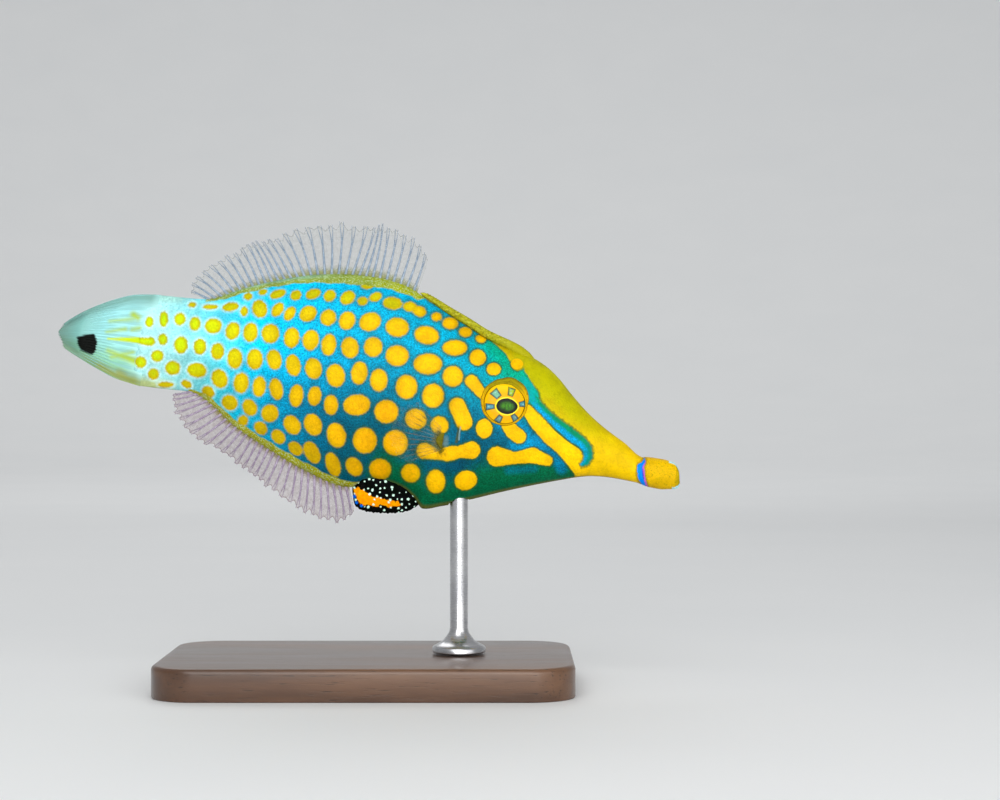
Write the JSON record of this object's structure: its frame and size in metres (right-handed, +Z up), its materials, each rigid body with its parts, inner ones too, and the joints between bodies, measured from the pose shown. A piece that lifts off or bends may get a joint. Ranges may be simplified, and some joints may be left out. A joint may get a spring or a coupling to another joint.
{
  "type": "harlequin filefish model",
  "caption": "Life-size still model of a harlequin filefish, swimming nose down, held over a flat wooden base by a thin steel rod.",
  "frame": {"origin": "centre of the stand base's flat underside", "axes": "+X towards the fish's snout, -X towards its tail, +Z up from the surface that the stand rests on, -Y out of the fish's right side, which faces the picture's camera"},
  "size_m": [0.0975, 0.04, 0.073],
  "materials": {
    "skin_body": "finely grained matt skin, cyan-blue with orange-yellow spots, cast in resin for display",
    "skin_head": "finely grained matt skin, teal with orange-yellow blotches and stripes",
    "skin_snout": "finely grained matt skin, yellow above and dark green along the throat",
    "skin_tail": "finely grained matt skin, pale cyan with lemon spots",
    "lips": "satin orange-yellow with a blue ring behind and a pale blue edge at the mouth",
    "eye": "glossy, orange-yellow with six blue-grey bars round a dark pointed pupil",
    "spine": "rough olive spine with small barbs",
    "fin_film": "thin, half clear, with grey-blue and lavender rays",
    "tail_film": "thin, pale green-white with fine rays, yellow streaks and one black spot",
    "flap": "satin black with small mint-white dots and an orange patch",
    "stand_wood": "dark stained walnut, satin varnish",
    "stand_steel": "turned and brushed"
  },
  "bodies": {
    "root": {"upper_jaw": "lips", "lower_jaw": "lips", "snout": "skin_snout", "head": "skin_head", "torso": "skin_body", "tail_peduncle": "skin_tail", "tail_fin": "tail_film", "dorsal_spine": "spine", "dorsal_fin": "fin_film", "anal_fin": "fin_film", "pectoral_fin_left": "fin_film", "pectoral_fin_right": "fin_film", "pelvic_flap": "flap", "eye_left": "eye", "eye_right": "eye", "stand_base": "stand_wood", "stand_rod": "stand_steel"}
  },
  "joints": []
}
